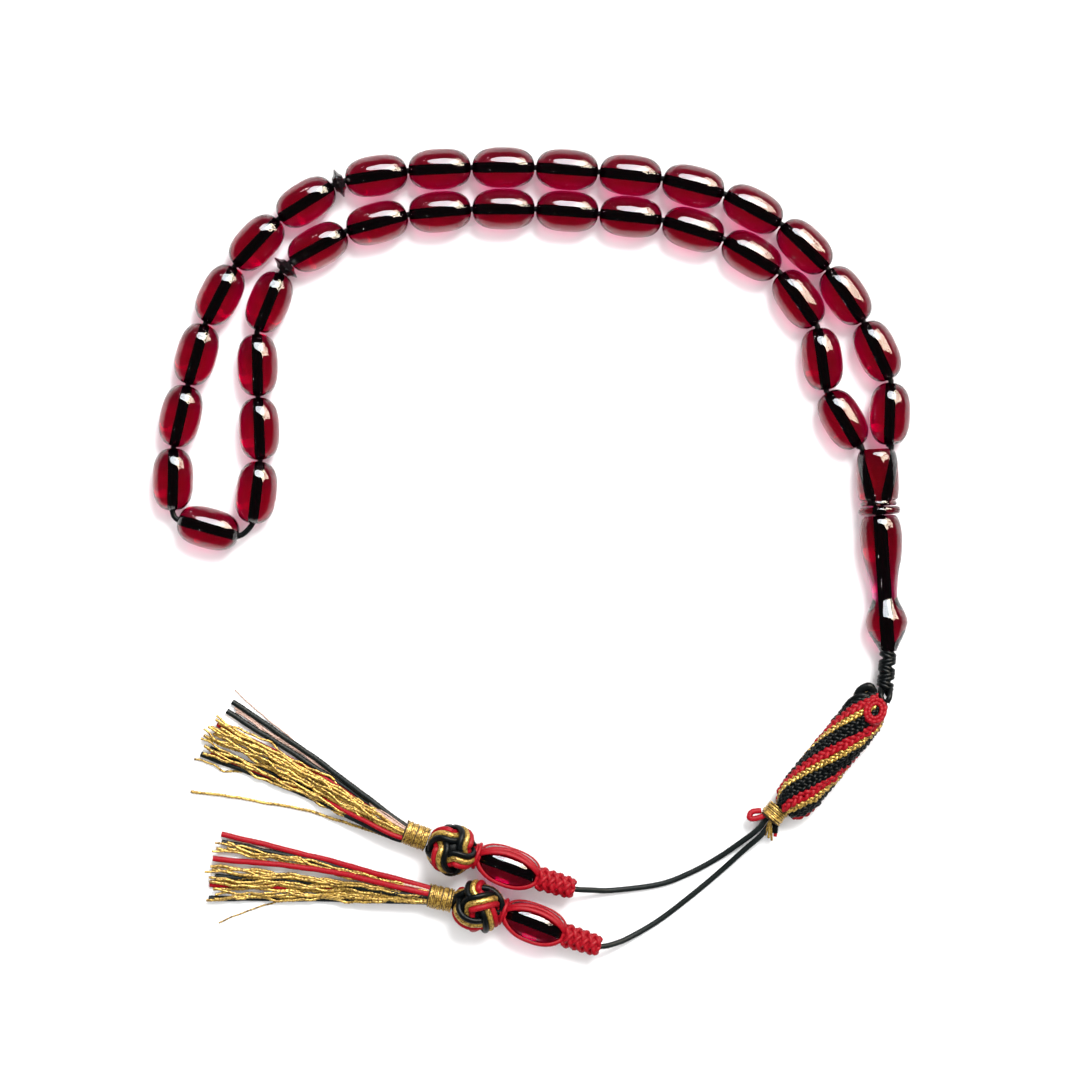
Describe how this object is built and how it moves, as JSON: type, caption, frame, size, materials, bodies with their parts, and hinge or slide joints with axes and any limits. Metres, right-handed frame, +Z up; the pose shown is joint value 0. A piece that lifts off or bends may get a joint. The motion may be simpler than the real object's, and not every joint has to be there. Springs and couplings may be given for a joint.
{
  "type": "prayer beads",
  "caption": "Loop of transparent dark red barrel beads with thin separators, a turned head, a spiral braided tail and two corded tassels with ball knots.",
  "frame": {"origin": "middle of the outline of the laid-out string, on the surface it lies on", "axes": "+Z up from the surface, +Y from the tassels to the top of the arch, +X towards the head"},
  "size_m": [0.1576, 0.1682, 0.011],
  "materials": {
    "resin": "polished, transparent",
    "jet": "polished",
    "black_cord": "fine round braid with a soft sheen",
    "red_cord": "fine round braid with a soft sheen",
    "gold_thread": "twisted metallic thread"
  },
  "bodies": {
    "string": {"string_loop": "black_cord", "junction_bead": "resin"},
    "tail": {"neck_knots": "black_cord", "spiral_braid": "red_cord", "braid_wrap": "gold_thread"},
    "tassel_a": {"tail_cord_a": "black_cord", "tassel_cap_a": "red_cord", "bead_net_a": "red_cord", "tassel_bead_a": "resin", "ball_knot_a": "black_cord", "tassel_wrap_a": "gold_thread"},
    "tassel_b": {"tail_cord_b": "black_cord", "tassel_cap_b": "red_cord", "bead_net_b": "red_cord", "tassel_bead_b": "resin", "ball_knot_b": "black_cord", "tassel_wrap_b": "gold_thread"},
    "fringe_a_body": {"fringe_a": "gold_thread"},
    "fringe_b_body": {"fringe_b": "gold_thread"},
    "bead_01_body": {"bead_01": "resin"},
    "bead_02_body": {"bead_02": "resin"},
    "bead_03_body": {"bead_03": "resin"},
    "bead_04_body": {"bead_04": "resin"},
    "bead_05_body": {"bead_05": "resin"},
    "bead_06_body": {"bead_06": "resin"},
    "bead_07_body": {"bead_07": "resin"},
    "bead_08_body": {"bead_08": "resin"},
    "bead_09_body": {"bead_09": "resin"},
    "bead_10_body": {"bead_10": "resin"},
    "bead_11_body": {"bead_11": "resin"},
    "bead_12_body": {"bead_12": "resin"},
    "bead_13_body": {"bead_13": "resin"},
    "bead_14_body": {"bead_14": "resin"},
    "bead_15_body": {"bead_15": "resin"},
    "bead_16_body": {"bead_16": "resin"},
    "bead_17_body": {"bead_17": "resin"},
    "bead_18_body": {"bead_18": "resin"},
    "bead_19_body": {"bead_19": "resin"},
    "bead_20_body": {"bead_20": "resin"},
    "bead_21_body": {"bead_21": "resin"},
    "bead_22_body": {"bead_22": "resin"},
    "bead_23_body": {"bead_23": "resin"},
    "bead_24_body": {"bead_24": "resin"},
    "bead_25_body": {"bead_25": "resin"},
    "bead_26_body": {"bead_26": "resin"},
    "bead_27_body": {"bead_27": "resin"},
    "bead_28_body": {"bead_28": "resin"},
    "bead_29_body": {"bead_29": "resin"},
    "bead_30_body": {"bead_30": "resin"},
    "bead_31_body": {"bead_31": "resin"},
    "bead_32_body": {"bead_32": "resin"},
    "bead_33_body": {"bead_33": "resin"},
    "separator_1_body": {"separator_1": "jet"},
    "separator_2_body": {"separator_2": "jet"},
    "head_ring_body": {"head_ring": "resin"},
    "head_shaft_body": {"head_shaft": "resin"}
  },
  "joints": [
    {"name": "tail_swing", "type": "hinge", "parent": "string", "child": "tail", "pos_m": [0.07423, -0.02057, 0.0044], "axis": [0, 0, 1], "range_deg": [-3, 40]},
    {"name": "tassel_a_swing", "type": "hinge", "parent": "tail", "child": "tassel_a", "pos_m": [0.04881, -0.05561, 0.0032], "axis": [0, 0, 1], "range_deg": [-10, 0]},
    {"name": "tassel_b_swing", "type": "hinge", "parent": "tail", "child": "tassel_b", "pos_m": [0.04987, -0.05647, 0.0032], "axis": [0, 0, 1], "range_deg": [0, 30]},
    {"name": "fringe_a_swing", "type": "hinge", "parent": "tassel_a", "child": "fringe_a_body", "pos_m": [-0.02689, -0.05796, 0.0041], "axis": [0, 0, 1], "range_deg": [-8, 3]},
    {"name": "fringe_b_swing", "type": "hinge", "parent": "tassel_b", "child": "fringe_b_body", "pos_m": [-0.0219, -0.07133, 0.0041], "axis": [0, 0, 1], "range_deg": [-3, 10]},
    {"name": "turn_bead_01", "type": "hinge", "parent": "string", "child": "bead_01_body", "pos_m": [0.07455, 0.02876, 0.00425], "axis": [0.0349, 0.9994, 0], "continuous": true},
    {"name": "turn_bead_02", "type": "hinge", "parent": "string", "child": "bead_02_body", "pos_m": [0.07189, 0.04185, 0.00425], "axis": [-0.4226, 0.9063, 0], "continuous": true},
    {"name": "turn_bead_03", "type": "hinge", "parent": "string", "child": "bead_03_body", "pos_m": [0.06536, 0.05339, 0.00425], "axis": [-0.5592, 0.829, 0], "continuous": true},
    {"name": "turn_bead_04", "type": "hinge", "parent": "string", "child": "bead_04_body", "pos_m": [0.05683, 0.06356, 0.00425], "axis": [-0.7193, 0.6947, 0], "continuous": true},
    {"name": "turn_bead_05", "type": "hinge", "parent": "string", "child": "bead_05_body", "pos_m": [0.04608, 0.07137, 0.00425], "axis": [-0.8829, 0.4695, 0], "continuous": true},
    {"name": "turn_bead_06", "type": "hinge", "parent": "string", "child": "bead_06_body", "pos_m": [0.03368, 0.07613, 0.00425], "axis": [-0.9703, 0.2419, 0], "continuous": true},
    {"name": "turn_bead_07", "type": "hinge", "parent": "string", "child": "bead_07_body", "pos_m": [0.02062, 0.07843, 0.00425], "axis": [-0.9945, 0.1045, 0], "continuous": true},
    {"name": "turn_bead_08", "type": "hinge", "parent": "string", "child": "bead_08_body", "pos_m": [0.00742, 0.07958, 0.00425], "axis": [-0.9976, 0.0698, 0], "continuous": true},
    {"name": "turn_bead_09", "type": "hinge", "parent": "string", "child": "bead_09_body", "pos_m": [-0.00582, 0.08005, 0.00425], "axis": [-1, 0, 0], "continuous": true},
    {"name": "turn_bead_10", "type": "hinge", "parent": "string", "child": "bead_10_body", "pos_m": [-0.01907, 0.0797, 0.00425], "axis": [-0.9986, -0.0523, 0], "continuous": true},
    {"name": "turn_bead_11", "type": "hinge", "parent": "string", "child": "bead_11_body", "pos_m": [-0.03225, 0.07831, 0.00425], "axis": [-0.9877, -0.1564, 0], "continuous": true},
    {"name": "turn_bead_12", "type": "hinge", "parent": "string", "child": "bead_12_body", "pos_m": [-0.0469, 0.07284, 0.00425], "axis": [-0.848, -0.5299, 0], "continuous": true},
    {"name": "turn_bead_13", "type": "hinge", "parent": "string", "child": "bead_13_body", "pos_m": [-0.05715, 0.06439, 0.00425], "axis": [-0.682, -0.7314, 0], "continuous": true},
    {"name": "turn_bead_14", "type": "hinge", "parent": "string", "child": "bead_14_body", "pos_m": [-0.06477, 0.0535, 0.00425], "axis": [-0.454, -0.891, 0], "continuous": true},
    {"name": "turn_bead_15", "type": "hinge", "parent": "string", "child": "bead_15_body", "pos_m": [-0.06964, 0.04116, 0.00425], "axis": [-0.2756, -0.9613, 0], "continuous": true},
    {"name": "turn_bead_16", "type": "hinge", "parent": "string", "child": "bead_16_body", "pos_m": [-0.07295, 0.02833, 0.00425], "axis": [-0.225, -0.9744, 0], "continuous": true},
    {"name": "turn_bead_17", "type": "hinge", "parent": "string", "child": "bead_17_body", "pos_m": [-0.07457, 0.01516, 0.00425], "axis": [-0.0175, -0.9998, 0], "continuous": true},
    {"name": "turn_bead_18", "type": "hinge", "parent": "string", "child": "bead_18_body", "pos_m": [-0.06723, 0.00503, 0.00425], "axis": [0.9653, -0.2611, 0], "continuous": true},
    {"name": "turn_bead_19", "type": "hinge", "parent": "string", "child": "bead_19_body", "pos_m": [-0.05723, 0.01243, 0.00425], "axis": [0.1219, 0.9925, 0], "continuous": true},
    {"name": "turn_bead_20", "type": "hinge", "parent": "string", "child": "bead_20_body", "pos_m": [-0.05665, 0.02568, 0.00425], "axis": [-0.0349, 0.9994, 0], "continuous": true},
    {"name": "turn_bead_21", "type": "hinge", "parent": "string", "child": "bead_21_body", "pos_m": [-0.057, 0.03892, 0.00425], "axis": [-0.0175, 0.9998, 0], "continuous": true},
    {"name": "turn_bead_22", "type": "hinge", "parent": "string", "child": "bead_22_body", "pos_m": [-0.05457, 0.05203, 0.00425], "axis": [0.3746, 0.9272, 0], "continuous": true},
    {"name": "turn_bead_23", "type": "hinge", "parent": "string", "child": "bead_23_body", "pos_m": [-0.0444, 0.06352, 0.00425], "axis": [0.8746, 0.4848, 0], "continuous": true},
    {"name": "turn_bead_24", "type": "hinge", "parent": "string", "child": "bead_24_body", "pos_m": [-0.03209, 0.06849, 0.00425], "axis": [0.9659, 0.2588, 0], "continuous": true},
    {"name": "turn_bead_25", "type": "hinge", "parent": "string", "child": "bead_25_body", "pos_m": [-0.01903, 0.07079, 0.00425], "axis": [0.9962, 0.0872, 0], "continuous": true},
    {"name": "turn_bead_26", "type": "hinge", "parent": "string", "child": "bead_26_body", "pos_m": [-0.00579, 0.07137, 0.00425], "axis": [1, 0, 0], "continuous": true},
    {"name": "turn_bead_27", "type": "hinge", "parent": "string", "child": "bead_27_body", "pos_m": [0.00746, 0.07091, 0.00425], "axis": [0.9976, -0.0698, 0], "continuous": true},
    {"name": "turn_bead_28", "type": "hinge", "parent": "string", "child": "bead_28_body", "pos_m": [0.02066, 0.06975, 0.00425], "axis": [0.9945, -0.1045, 0], "continuous": true},
    {"name": "turn_bead_29", "type": "hinge", "parent": "string", "child": "bead_29_body", "pos_m": [0.03366, 0.06711, 0.00425], "axis": [0.9563, -0.2924, 0], "continuous": true},
    {"name": "turn_bead_30", "type": "hinge", "parent": "string", "child": "bead_30_body", "pos_m": [0.04579, 0.06171, 0.00425], "axis": [0.8572, -0.515, 0], "continuous": true},
    {"name": "turn_bead_31", "type": "hinge", "parent": "string", "child": "bead_31_body", "pos_m": [0.05554, 0.05261, 0.00425], "axis": [0.5736, -0.8192, 0], "continuous": true},
    {"name": "turn_bead_32", "type": "hinge", "parent": "string", "child": "bead_32_body", "pos_m": [0.06044, 0.04019, 0.00425], "axis": [0.1392, -0.9903, 0], "continuous": true},
    {"name": "turn_bead_33", "type": "hinge", "parent": "string", "child": "bead_33_body", "pos_m": [0.06477, 0.02759, 0.00425], "axis": [0.5, -0.866, 0], "continuous": true},
    {"name": "turn_separator_1", "type": "hinge", "parent": "string", "child": "separator_1_body", "pos_m": [-0.04003, 0.07679, 0.00425], "axis": [-0.9367, -0.3502, 0], "continuous": true},
    {"name": "turn_separator_2", "type": "hinge", "parent": "string", "child": "separator_2_body", "pos_m": [-0.05111, 0.05921, 0.00425], "axis": [-0.6626, -0.749, 0], "continuous": true},
    {"name": "turn_head_ring", "type": "hinge", "parent": "string", "child": "head_ring_body", "pos_m": [0.07239, 0.00862, 0.0044], "axis": [-0.0523, 0.9986, 0], "continuous": true},
    {"name": "turn_head_shaft", "type": "hinge", "parent": "string", "child": "head_shaft_body", "pos_m": [0.07334, -0.0065, 0.0044], "axis": [-0.0628, 0.998, 0], "continuous": true}
  ]
}
